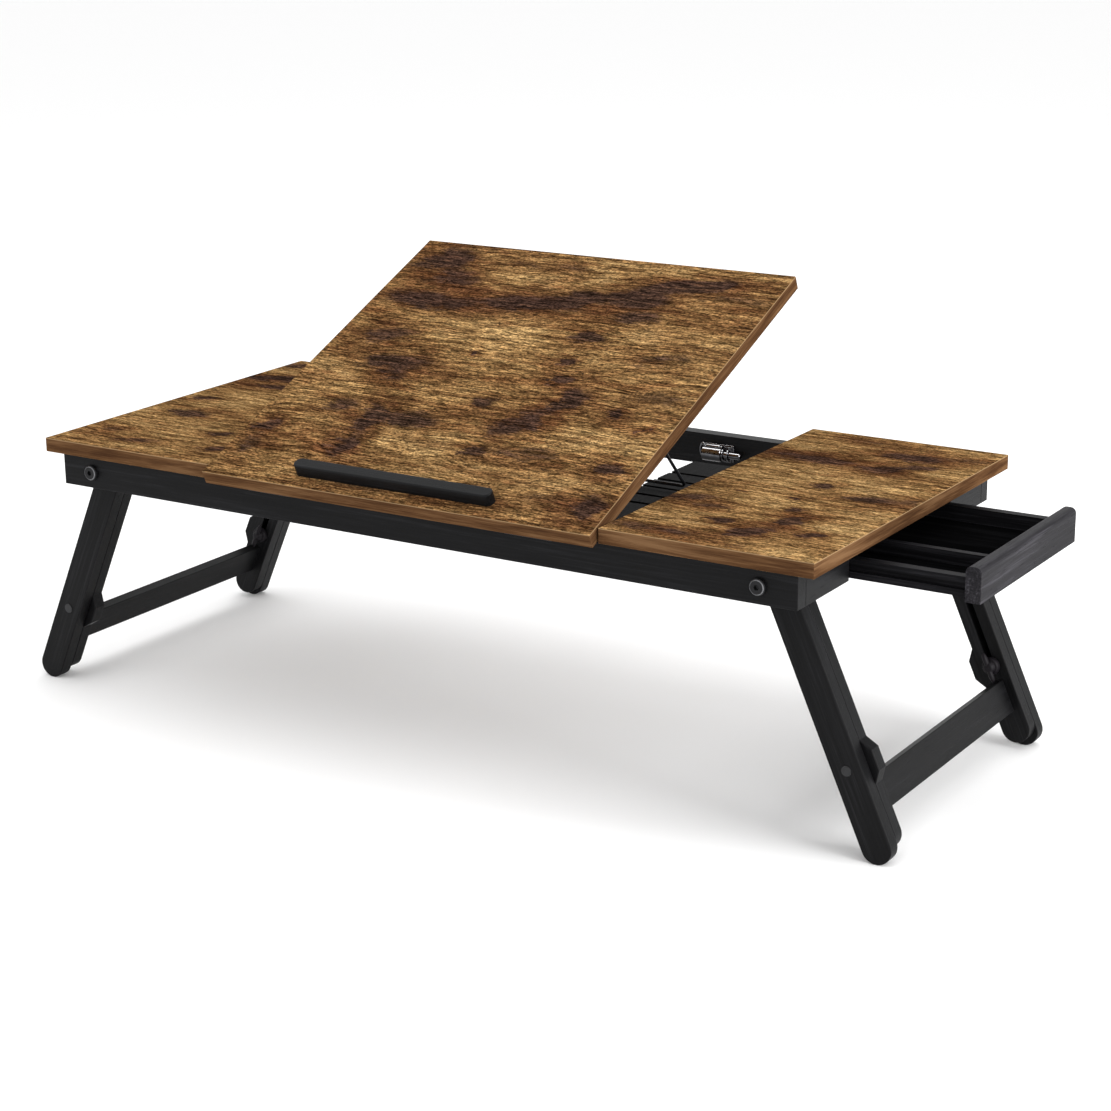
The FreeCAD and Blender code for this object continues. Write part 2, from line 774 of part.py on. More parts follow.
def clamp_bolt(front):
    """The bolt that the wing knob pulls on, from its head in the outer piece to the knob."""
    through = 2 * leg_thick + leg_gap + turn_clear + knob_hub_tall - knob_edge
    head_start = -clamp_head_proud if front else leg_thick - clamp_head_tall
    shank_start = 0 if front else leg_thick - through
    head_long = clamp_head_tall + clamp_head_proud
    head = rod((0, head_start, -clamp_down), clamp_head_radius, head_long, "Y")
    shank = rod((0, shank_start, -clamp_down), clamp_bolt_radius, through, "Y")
    return join(head, shank)


def wing_knob(name, side, y, front):
    """A hub with a blade along the leg, drawn with its bore along y from the face on the leg."""
    piece = Body(name)
    direction = 1 if front else -1
    hub_start = 0 if front else -knob_hub_tall
    wing_thick = knob_tall - knob_hub_tall + knob_edge
    wing_start = knob_hub_tall - knob_edge if front else -knob_tall
    drawing = piece.sketch("XZ", hub_start)
    piece.circle(drawing, (0, 0), knob_hub_radius)
    piece.pad("XZ", drawing, knob_hub_tall)
    reach = wing_reach - wing_radius
    drawing = piece.sketch("XZ", wing_start)
    piece.rectangle(drawing, (-wing_radius, -reach), (wing_radius, reach))
    piece.pad("XZ", drawing, wing_thick)
    drawing = piece.sketch("XZ", wing_start)
    piece.circle(drawing, (0, -reach), wing_radius)
    piece.circle(drawing, (0, reach), wing_radius)
    piece.pad("XZ", drawing, wing_thick)
    drawing = piece.sketch("XZ", hub_start - overrun if front else hub_start + knob_edge)
    piece.circle(drawing, (0, 0), clamp_bolt_radius + fit_clear)
    piece.pocket("XZ", drawing, knob_hub_tall - knob_edge + overrun)
    x, sign = SIDES[side]
    across = x - sign * clamp_down * sine(leg_lean)
    down = pivot_down - clamp_down * cosine(leg_lean)
    keep(piece.body, name, (across, y + direction * turn_clear, down), (0, 1, 0), sign * leg_lean)


for side in ("left", "right"):
    outer_leg("leg_outer_%s_front" % side, side, outer_front)
    outer_leg("leg_outer_%s_back" % side, side, outer_back - leg_thick)
    inner_leg("leg_inner_%s_front" % side, side, inner_front)
    inner_leg("leg_inner_%s_back" % side, side, inner_back - leg_thick)
    bolts = [clamp_bolt(True), clamp_bolt(False)]
    set_place(bolts[1], (0, outer_back - leg_thick - outer_front, 0))
    keep_leaning(group(bolts), "clamp_bolts_" + side, side, outer_front)
    wing_knob("wing_knob_%s_front" % side, side, inner_face_front, True)
    wing_knob("wing_knob_%s_back" % side, side, inner_face_back, False)
    sign = SIDES[side][1]
    bar = Body("crossbar_" + side)
    outward = bar_thick - bar_inner
    bar_low = -outward if sign > 0 else -bar_inner
    bar_from = (bar_low, 0, -bar_start - bar_wide)
    bar.slab(bar_from, (bar_low + bar_thick, inner_face_back - inner_face_front, -bar_start))
    bar.ease(rail_edge, lambda edge: edge.BoundBox.YLength > edge.BoundBox.XLength + edge.BoundBox.ZLength)
    keep_leaning(bar.body, "crossbar_" + side, side, inner_face_front)


# Pivot bolts with socket heads, their spacers and nuts

def pivot_bolt():
    """Drawn along y from the rail's outer face; the head stands in front of it."""
    through = rail_thick + leg_lane + leg_thick + turn_clear + nut_tall
    body_start = pivot_head_edge - pivot_head_tall
    head = rod((0, body_start, 0), pivot_head_radius, pivot_head_tall - pivot_head_edge, "Y")
    face_radius = pivot_head_radius - pivot_head_edge
    dome = cone((0, -pivot_head_tall, 0), face_radius, pivot_head_radius, pivot_head_edge, "Y")
    shank = rod((0, 0, 0), pivot_bolt_radius, through, "Y")
    socket = document.addObject("Part::Prism", "socket")
    socket.Polygon = 6
    bind(socket, "Circumradius", socket_radius)
    bind(socket, "Height", socket_deep + overrun)
    set_place(socket, (0, -pivot_head_tall - overrun, 0), *TURNS["Y"])
    return cut(join(dome, head, shank), socket)


def spacer():
    tube = rod((0, rail_thick, 0), spacer_radius, leg_lane - turn_clear, "Y")
    bore = rod((0, rail_thick - overrun, 0), pivot_bolt_radius + fit_clear, leg_lane + 2 * overrun, "Y")
    return cut(tube, bore)


def nut():
    start = rail_thick + leg_lane + leg_thick + turn_clear
    block = document.addObject("Part::Prism", "nut")
    block.Polygon = 6
    bind(block, "Circumradius", nut_radius)
    bind(block, "Height", nut_tall)
    set_place(block, (0, start, 0), *TURNS["Y"])
    bore = rod((0, start - overrun, 0), pivot_bolt_radius, nut_tall + 2 * overrun, "Y")
    return cut(block, bore)


def at_pivots(make, name):
    """Four copies of one fastener, at the front pivots and turned round at the back ones."""
    copies = []
    span = top_deep - 2 * front_overhang
    for x in (0, top_long - 2 * pivot_inset):
        near = make()
        set_place(near, (x, 0, 0))
        far = make()
        set_place(far, (x, span, 0), (0, 0, 1), 180.0)
        copies += [near, far]
    keep(group(copies), name, (pivot_inset, front_overhang, pivot_down))


at_pivots(pivot_bolt, "pivot_bolts")
at_pivots(spacer, "leg_spacers")
at_pivots(nut, "pivot_nuts")

# Drawer, drawn from the table's front edge and its own inner end

drawer_z = frame_top - drawer_top
drawer_low = drawer_z - drawer_tall
groove_centre = frame_top - tongue_down - tongue_tall / 2
groove_deep = tongue_reach + runner_gap


def drawer_side(name, y, groove_y):
    piece = Body(name)
    piece.slab((0, 0, 0), (drawer_long, drawer_wall, drawer_tall))
    drawing = piece.sketch("YZ", -overrun)
    half = tongue_tall / 2 + runner_gap
    middle = groove_centre - drawer_low
    piece.rectangle(drawing, (groove_y, middle - half), (groove_y + groove_deep + overrun, middle + half))
    piece.pocket("YZ", drawing, drawer_long + overrun)
    keep(piece.body, name, (drawer_start, y, drawer_low))


def drawer_plate(name, low, high, edge=None):
    piece = Body(name)
    piece.slab((0, 0, 0), (high[0] - low[0], high[1] - low[1], high[2] - low[2]))
    if edge is not None:
        piece.ease(edge)
    keep(piece.body, name, low)


inner_near = drawer_near + drawer_wall
inner_far = drawer_far - drawer_wall
inner_left = drawer_start + drawer_wall
drawer_side("drawer_side_near", drawer_near, -overrun)
drawer_side("drawer_side_far", inner_far, drawer_wall - groove_deep)
drawer_plate("drawer_back", (drawer_start, inner_near, drawer_low), (inner_left, inner_far, drawer_z))
drawer_plate("drawer_bottom", (inner_left, inner_near, drawer_low),
             (front_inner_x, inner_far, drawer_low + drawer_floor))
drawer_plate("drawer_divider", (inner_left, divider_near, drawer_low + drawer_floor),
             (front_inner_x, divider_near + divider_wall, drawer_z - divider_low))


def drawer_front():
    piece = Body("drawer_front")
    wide = drawer_far - drawer_near + 2 * front_proud
    piece.slab((0, 0, 0), (front_wall, wide, front_tall))
    high = number(front_tall)
    reach = number(overrun)
    piece.ease(front_round, lambda edge: edge.CenterOfMass.z > high - reach and edge.BoundBox.YLength > high)
    low = frame_top - front_top - front_tall
    keep(piece.body, "drawer_front", (front_inner_x, drawer_near - front_proud, low))


drawer_front()


def runner(name, y, sign):
    """A hanging runner whose tongue rides in the drawer side's groove."""
    piece = Body(name)
    long = right_rail_x - runner_start
    low = -runner_web if sign > 0 else 0
    piece.slab((0, low, 0), (long, low + runner_web, runner_tall))
    middle = groove_centre - frame_top + runner_tall
    drawing = piece.sketch("YZ", 0)
    reach = tongue_reach + runner_gap
    start = 0 if sign > 0 else -reach
    piece.rectangle(drawing, (start, middle - tongue_tall / 2), (start + reach, middle + tongue_tall / 2))
    piece.pad("YZ", drawing, long)
    keep(piece.body, name, (runner_start, y, frame_top - runner_tall))


runner("drawer_runner_near", drawer_near - runner_gap, 1)
runner("drawer_runner_far", drawer_far + runner_gap, -1)


# Spring catches on the back rail

def catch(side):
    """A barrel on a plate, drawn from its tab end along x and out of the rail along minus y."""
    axis_y = -catch_plate_thick - catch_radius
    half = catch_plate_tall / 2
    barrel_start = catch_tab
    barrel_long = catch_long - catch_tab
    plate = box((0, -catch_plate_thick, -half), (catch_long + catch_collar, 0, half))
    barrel = rod((barrel_start, axis_y, 0), catch_radius, barrel_long, "X")
    web = box((barrel_start, axis_y, -catch_radius / 2), (catch_long, 0, catch_radius / 2))
    collar_half = catch_collar_size / 2
    collar = box((catch_long, axis_y - catch_radius, -collar_half),
                 (catch_long + catch_collar, 0, collar_half))
    bore = rod((barrel_start + overrun, axis_y, 0), catch_bore_radius, catch_long + catch_collar, "X")
    tab = catch_tab / 2
    hole_start = -catch_plate_thick - overrun
    hole = rod((tab, hole_start, 0), catch_tab_hole, catch_plate_thick + 2 * overrun, "Y")
    body = cut(join(plate, barrel, web, collar), bore, hole)
    nose_radius = catch_bore_radius - fit_clear
    nose_end = catch_long + catch_collar + catch_bolt_reach
    nose = rod((nose_end - catch_bolt_long, axis_y, 0), nose_radius, catch_bolt_long - overrun, "X")
    tip = cone((nose_end - overrun, axis_y, 0), nose_radius, nose_radius - overrun, overrun, "X")
    spring_start = barrel_start + overrun
    spring_long = nose_end - catch_bolt_long - catch_travel - turn_clear - spring_start
    spring = rod((spring_start, axis_y, 0), nose_radius, spring_long, "X")
    spring_bore = rod((spring_start, axis_y, 0), nose_radius - overrun, spring_long, "X")
    screw = join(rod((tab, -catch_plate_thick, 0), catch_tab_hole, catch_plate_thick, "Y"),
                 cone((tab, hole_start, 0), catch_tab_hole, 2 * catch_tab_hole, overrun, "Y"))
    left = top_long - catch_inset if side == "right" else catch_inset
    place = (left, rail_back_face, frame_top - catch_down)
    for thing, name in ((body, "catch_body_"), (join(nose, tip), "catch_bolt_"),
                        (cut(spring, spring_bore), "catch_spring_"), (screw, "catch_screw_")):
        if side == "left":
            mirror = document.addObject("Part::Mirroring", "mirror")
            mirror.Source = thing
            mirror.Normal = Vector(1, 0, 0)
            thing = mirror
        keep(thing, name + side, place)


catch("left")
catch("right")

# Rebuild, look every object over and write the pieces

document.recompute()
for thing in document.Objects:
    if "Invalid" in thing.State or "Error" in thing.State:
        raise RuntimeError("%s failed to build: %s" % (thing.Label, thing.State))
for piece in PIECES:
    if piece.Shape.isNull() or not piece.Shape.isValid():
        raise RuntimeError("%s has no sound shape" % piece.Label)
os.makedirs("parts", exist_ok=True)
for piece in PIECES:
    piece.Shape.exportStep("parts/%s.step" % piece.Label)
print("%d pieces, floor %.3f mm under the top" % (len(PIECES), -floor_down.value))
print("origin at %.3f, %.3f in the table's frame" % (centre_across.value, centre_deep_wise.value))
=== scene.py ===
"""Looks of the laptop stand: rustic brown wood panels on a black stained frame with folding legs."""

import json
import math

import bmesh
import bpy
from mathutils import Matrix, Vector


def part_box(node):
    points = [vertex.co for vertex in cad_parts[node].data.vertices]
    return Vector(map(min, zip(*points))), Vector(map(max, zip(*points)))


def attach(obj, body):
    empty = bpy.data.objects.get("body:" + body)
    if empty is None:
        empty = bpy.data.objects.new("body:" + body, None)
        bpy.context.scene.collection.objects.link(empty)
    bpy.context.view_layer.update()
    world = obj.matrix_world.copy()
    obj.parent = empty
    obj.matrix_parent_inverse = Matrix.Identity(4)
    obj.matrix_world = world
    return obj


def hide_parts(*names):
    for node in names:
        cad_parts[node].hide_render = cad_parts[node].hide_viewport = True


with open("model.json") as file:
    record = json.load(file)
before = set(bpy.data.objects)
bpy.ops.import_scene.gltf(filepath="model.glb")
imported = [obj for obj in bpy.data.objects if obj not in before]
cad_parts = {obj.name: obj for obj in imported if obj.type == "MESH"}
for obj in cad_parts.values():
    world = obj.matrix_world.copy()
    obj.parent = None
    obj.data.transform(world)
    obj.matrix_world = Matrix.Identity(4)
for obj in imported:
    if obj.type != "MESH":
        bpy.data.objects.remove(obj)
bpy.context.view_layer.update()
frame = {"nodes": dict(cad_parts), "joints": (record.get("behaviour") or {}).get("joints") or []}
nodes = frame["nodes"]

MM = 0.001

# The table's own corner: front left of the left panel's top face

left_low, left_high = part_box("panel_left")
TABLE = Vector((left_low.x, left_low.y, left_high.z))
hinge = next(joint for joint in frame["joints"] if joint["name"] == "tilt")
HINGE = Vector(hinge["pos_m"])
TILT = math.radians(-hinge["range_deg"][0])
LEG_LEAN = math.radians(24)


# Camera, lights and floor

def aim_camera():
    """The photograph's view, from the camera solved on the table's corners."""
    place = TABLE + Vector((1453.5, -1494.3, 505.2)) * MM
    yaw, pitch, roll = 0.5631, 0.2909, 0.0096
    focal_pixels, picture_pixels = 2492.8, 1111
    centre_x, centre_y = 558.8, 552.5
    forward = Vector((-math.sin(yaw) * math.cos(pitch), math.cos(yaw) * math.cos(pitch), -math.sin(pitch)))
    level = Vector((math.cos(yaw), math.sin(yaw), 0))
    down = forward.cross(level)
    right = math.cos(roll) * level + math.sin(roll) * down
    low = math.cos(roll) * down - math.sin(roll) * level
    turn = Matrix((right, -low, -forward)).transposed().to_4x4()
    lens = bpy.data.cameras.new("camera")
    lens.sensor_width = 36
    lens.lens = focal_pixels * lens.sensor_width / picture_pixels
    lens.shift_x = 0.5 - centre_x / picture_pixels
    lens.shift_y = centre_y / picture_pixels - 0.5
    lens.clip_start = 0.05
    camera = bpy.data.objects.new("camera", lens)
    camera.matrix_world = Matrix.Translation(place) @ turn
    bpy.context.scene.collection.objects.link(camera)
    bpy.context.scene.camera = camera


def soft_light(name, place, target, power, wide, tall):
    light = bpy.data.lights.new(name, "AREA")
    light.shape = "RECTANGLE"
    light.size = wide
    light.size_y = tall
    light.energy = power
    item = bpy.data.objects.new(name, light)
    item.location = place
    item.rotation_euler = (Vector(target) - Vector(place)).to_track_quat("-Z", "Y").to_euler()
    bpy.context.scene.collection.objects.link(item)


def set_studio():
    settings = bpy.context.scene.view_settings
    settings.view_transform = "Standard"
    settings.look = "None"
    middle, sky, floor_half, floor_pale = (0, 0, 0.2), 1.05, 30, 0.92
    soft_light("overhead", (0.1, 0.2, 2.2), middle, 18, 2.4, 1.8)
    soft_light("front_left", (-1.6, -2.0, 1.5), middle, 8, 1.6, 1.4)
    soft_light("right", (2.6, -0.2, 1.0), middle, 50, 1.4, 1.2)
    soft_light("behind", (-0.6, 2.4, 1.6), middle, 8, 2.0, 1.2)
    world = bpy.data.worlds.new("studio")
    world.use_nodes = True
    back = world.node_tree.nodes["Background"]
    back.inputs["Color"].default_value = (1, 1, 1, 1)
    back.inputs["Strength"].default_value = sky
    bpy.context.scene.world = world
    plane = bmesh.new()
    bmesh.ops.create_grid(plane, x_segments=1, y_segments=1, size=floor_half)
    mesh = bpy.data.meshes.new("floor")
    plane.to_mesh(mesh)
    floor = bpy.data.objects.new("floor", mesh)
    bpy.context.scene.collection.objects.link(floor)
    surface = Paint("floor_pale")
    surface.finish((floor_pale, floor_pale, floor_pale, 1), 0.9)
    mesh.materials.append(surface.material)


# Shader maths: a socket that adds its own Math nodes

class Value:
    def __init__(self, paint, socket):
        self.paint = paint
        self.socket = socket

    def maths(self, operation, first, second=0.0):
        return self.paint.node("ShaderNodeMath", {"operation": operation}, {0: first, 1: second})

    def __add__(self, other):
        return self.maths("ADD", self, other)

    def __radd__(self, other):
        return self.maths("ADD", other, self)

    def __sub__(self, other):
        return self.maths("SUBTRACT", self, other)

    def __rsub__(self, other):
        return self.maths("SUBTRACT", other, self)

    def __mul__(self, other):
        return self.maths("MULTIPLY", self, other)

    def __pow__(self, other):
        return self.maths("POWER", self, other)

    def size(self):
        return self.maths("ABSOLUTE", self)

    def at_least(self, other):
        return self.maths("MAXIMUM", self, other)

    def at_most(self, other):
        return self.maths("MINIMUM", self, other)

    def step(self, low, high, start=0.0, stop=1.0):
        """A smooth step of this value from low to high."""
        return self.paint.node("ShaderNodeMapRange", {"interpolation_type": "SMOOTHSTEP"},
                               {"Value": self, "From Min": low, "From Max": high,
                                "To Min": start, "To Max": stop})


class Paint:
    """One material and the nodes that make it."""

    def __init__(self, name):
        self.material = bpy.data.materials.new(name)
        self.material.use_nodes = True
        self.tree = self.material.node_tree
        self.tree.nodes.clear()

    def node(self, kind, settings, inputs, output=0):
        made = self.tree.nodes.new(kind)
        for key, setting in settings.items():
            if key == "stops":
                self.set_stops(made.color_ramp, setting)
            else:
                setattr(made, key, setting)
        for key, value in inputs.items():
            if isinstance(value, Value):
                self.tree.links.new(value.socket, made.inputs[key])
            else:
                made.inputs[key].default_value = value
        return Value(self, made.outputs[output])

    def set_stops(self, ramp, stops):
        while len(ramp.elements) < len(stops):
            ramp.elements.new(0.5)
        for element, (position, colour) in zip(ramp.elements, stops):
            element.position = position
            element.color = (*colour, 1)

    def place(self, origin=(0, 0, 0), turn=(0, 0, 0)):
        """Object coordinates taken in a frame at an origin, turned, in metres."""
        coordinates = self.node("ShaderNodeTexCoord", {}, {}, "Object")
        return self.node("ShaderNodeMapping", {"vector_type": "TEXTURE"},
                         {"Vector": coordinates, "Location": tuple(origin), "Rotation": tuple(turn)})

    def facing(self, turn=(0, 0, 0)):
        """The surface normal in the same turned frame, as three values."""
        normal = self.node("ShaderNodeTexCoord", {}, {}, "Normal")
        turned = self.node("ShaderNodeMapping", {"vector_type": "TEXTURE"},
                           {"Vector": normal, "Rotation": tuple(turn)})
        return self.parts(turned)

    def parts(self, vector):
        made = self.tree.nodes.new("ShaderNodeSeparateXYZ")
        self.tree.links.new(vector.socket, made.inputs[0])
        return [Value(self, output) for output in made.outputs]

    def vector(self, x, y, z):
        return self.node("ShaderNodeCombineXYZ", {}, {0: x, 1: y, 2: z})

    def stretch(self, vector, scale, shift=(0, 0, 0)):
        return self.node("ShaderNodeMapping", {"vector_type": "POINT"},
                         {"Vector": vector, "Scale": tuple(scale), "Location": tuple(shift)})

    def noise(self, vector, detail, roughness, warp=0.0):
        return self.node("ShaderNodeTexNoise", {},
                         {"Vector": vector, "Scale": 1.0, "Detail": detail, "Roughness": roughness,
                          "Distortion": warp})

    def cells(self, vector):
        return self.node("ShaderNodeTexVoronoi", {}, {"Vector": vector, "Scale": 1.0})

    def ramp(self, factor, stops):
        return self.node("ShaderNodeValToRGB", {"stops": stops}, {0: factor})

    def mix(self, factor, first, second, kind="MIX"):
        settings = {"data_type": "RGBA", "blend_type": kind}
        return self.node("ShaderNodeMix", settings, {0: factor, 6: first, 7: second}, 2)

    def grey(self, value):
        return self.node("ShaderNodeCombineColor", {}, {0: value, 1: value, 2: value})

    def bump(self, height, distance, strength):
        return self.node("ShaderNodeBump", {}, {"Height": height, "Distance": distance, "Strength": strength})

    def finish(self, colour, roughness, metallic=0.0, normal=None, specular=0.5):
        inputs = {"Base Color": colour, "Roughness": roughness, "Metallic": metallic,
                  "Specular IOR Level": specular}
        if normal is not None:
            inputs["Normal"] = normal
        shader = self.node("ShaderNodeBsdfPrincipled", {}, inputs)
        target = self.tree.nodes.new("ShaderNodeOutputMaterial")
        self.tree.links.new(shader.socket, target.inputs["Surface"])
        return self.material


# Rustic brown wood of the panels

UMBER = (0.016, 0.010, 0.008)
PURPLE_BROWN = (0.038, 0.021, 0.016)
RED_BROWN = (0.080, 0.034, 0.015)
TAN = (0.128, 0.064, 0.025)
GOLD = (0.205, 0.116, 0.045)
HONEY = (0.325, 0.205, 0.086)
RUDDY = (0.105, 0.040, 0.015)
# Colour of the painted highlight along the panels' top edges
PAINTED_EDGE_HIGHLIGHT = (0.50, 0.34, 0.18)
EDGE_DARK = (0.044, 0.020, 0.010)
EDGE_BROWN = (0.100, 0.049, 0.022)
EDGE_LIGHT = (0.170, 0.092, 0.044)
EDGE_VEIN = (0.040, 0.018, 0.010)

# Dark marks of each panel's print: share along, share back, half length and half width in mm,
# turn in degrees and depth of the mark. The small round ones are knots, and pale areas have a
# depth below nothing.
CENTRE_MARKS = (
    (0.10, 0.93, 28, 19, 12, 0.85), (0.17, 0.85, 24, 15, 0, 0.80), (0.15, 0.75, 48, 13, -2, 0.85),
    (0.42, 0.78, 58, 13, 6, 0.92), (0.54, 0.83, 26, 9, 0, 0.70), (0.67, 0.84, 24, 14, 8, 0.90),
    (0.76, 0.91, 40, 9, 10, 0.90), (0.85, 0.93, 18, 9, 12, 0.70), (0.71, 0.77, 26, 12, 8, 0.60),
    (0.89, 0.76, 28, 9, 12, 0.45), (0.86, 0.62, 30, 10, 10, 0.62), (0.23, 0.49, 36, 12, 4, 0.74),
    (0.24, 0.44, 14, 9, 6, 0.62), (0.13, 0.59, 26, 14, 10, 0.70), (0.18, 0.31, 17, 9, 6, 0.60),
    (0.38, 0.29, 34, 12, 8, 0.66), (0.28, 0.16, 14, 13, 70, 0.90), (0.28, 0.27, 24, 12, 84, 0.76),
    (0.05, 0.20, 12, 10, 50, 0.76), (0.06, 0.12, 15, 13, 84, 0.56), (0.73, 0.23, 28, 11, 6, 0.56),
    (0.60, 0.21, 14, 7, 20, 0.70), (0.95, 0.08, 17, 15, 88, 0.84), (0.84, 0.09, 22, 7, 0, 0.45),
    (0.71, 0.43, 19, 13, 62, 0.88), (0.65, 0.33, 28, 12, 44, 0.88), (0.52, 0.38, 14, 9, 12, 0.88),
    (0.92, 0.48, 30, 11, 5, 0.42), (0.66, 0.05, 26, 6, 0, 0.45), (0.40, 0.03, 34, 5, 2, 0.42),
    (0.45, 0.94, 20, 7, 2, 0.50), (0.30, 0.93, 20, 7, 2, 0.54), (0.93, 0.88, 36, 7, 2, 0.42),
    (0.62, 0.67, 17, 10, 6, 1.0), (0.62, 0.57, 9, 5, 8, 1.0), (0.65, 0.50, 13, 7, 8, 1.0),
    (0.40, 0.56, 4, 3, 0, 1.0), (0.84, 0.40, 11, 9, 6, 1.0), (0.92, 0.22, 10, 9, 8, 1.0),
    (0.93, 0.36, 6, 3, 60, 0.90), (0.27, 0.91, 26, 7, 4, -0.50), (0.35, 0.88, 18, 6, 0, -0.40),
    (0.64, 0.96, 26, 5, 2, -0.35), (0.50, 0.70, 60, 10, 2, -0.45), (0.86, 0.76, 28, 9, 4, -0.40),
    (0.52, 0.63, 46, 13, 0, -0.40), (0.97, 0.53, 12, 9, 30, -0.60), (0.91, 0.27, 24, 12, 8, -0.55),
    (0.78, 0.37, 22, 7, 4, -0.45), (0.77, 0.28, 16, 8, 20, -0.45), (0.33, 0.61, 34, 12, 4, -0.35),
    (0.49, 0.20, 36, 14, 0, -0.30), (0.44, 0.36, 30, 10, 4, -0.30), (0.90, 0.62, 20, 8, 4, -0.30),
)
RIGHT_MARKS = (
    (0.08, 0.76, 18, 9, 10, 0.56), (0.30, 0.74, 34, 12, 0, 0.88), (0.66, 0.86, 30, 12, 5, 0.92),
    (0.62, 0.73, 18, 11, 14, 0.80), (0.74, 0.78, 16, 8, 40, 0.64), (0.33, 0.95, 28, 7, 4, 0.50),
    (0.09, 0.31, 22, 12, 20, 0.66), (0.24, 0.27, 18, 8, 14, 0.54), (0.12, 0.06, 26, 10, -10, 0.56),
    (0.32, 0.06, 16, 9, 0, 0.60), (0.40, 0.18, 11, 8, 16, 0.90), (0.64, 0.25, 20, 9, 72, 0.88),
    (0.57, 0.13, 22, 9, 60, 0.88), (0.80, 0.48, 20, 12, 14, 0.66), (0.97, 0.50, 14, 10, 60, 0.42),
    (0.65, 0.03, 14, 6, 6, 0.48), (0.90, 0.90, 20, 7, 8, 0.40),
    (0.50, 0.54, 12, 8, 10, 1.0), (0.52, 0.41, 5, 3, 8, 1.0), (0.58, 0.33, 7, 5, 10, 1.0),
    (0.82, 0.17, 10, 7, 12, 1.0), (0.24, 0.41, 3, 2, 0, 1.0), (0.42, 0.58, 40, 16, 0, -0.45),
    (0.90, 0.26, 16, 22, 0, -0.50), (0.20, 0.88, 20, 10, 4, -0.35), (0.76, 0.62, 20, 10, 8, -0.30),
    (0.80, 0.04, 22, 9, 4, -0.45), (0.30, 0.36, 24, 8, 6, -0.30),
)
LEFT_MARKS = (
    (0.24, 0.80, 50, 14, 14, 0.90), (0.36, 0.72, 42, 10, 10, 0.84), (0.13, 0.52, 15, 8, 16, 0.66),
    (0.27, 0.37, 24, 11, 8, 0.74), (0.18, 0.15, 14, 9, 16, 0.60), (0.41, 0.09, 24, 8, 20, 0.66),
    (0.69, 0.24, 11, 8, 14, 0.94), (0.86, 0.12, 14, 9, 24, 0.84), (0.06, 0.94, 16, 10, 16, 0.60),
    (0.28, 0.95, 12, 7, 8, 0.56), (0.68, 0.54, 16, 9, 30, 0.42), (0.90, 0.88, 26, 12, 4, 0.55),
    (0.84, 0.42, 20, 7, 4, 0.45), (0.62, 0.56, 50, 22, 2, -0.45), (0.50, 0.90, 24, 8, 2, -0.45),
    (0.10, 0.30, 20, 18, 6, -0.40), (0.62, 0.30, 20, 12, 8, -0.35),
)


def reach_of(paint, place, wide, deep, mark):
    """How far a point lies from a mark, where 1 is the mark's own outline."""
    along, back, half_long, half_wide, turn, depth = mark
    middle = (along * wide, back * deep, 0)
    scale = (half_long * MM, half_wide * MM, 1)
    seen = paint.node("ShaderNodeMapping", {"vector_type": "TEXTURE"},
                      {"Vector": place, "Location": middle, "Rotation": (0, 0, math.radians(turn)),
                       "Scale": scale})
    return paint.node("ShaderNodeVectorMath", {"operation": "LENGTH"}, {0: seen}, 1)


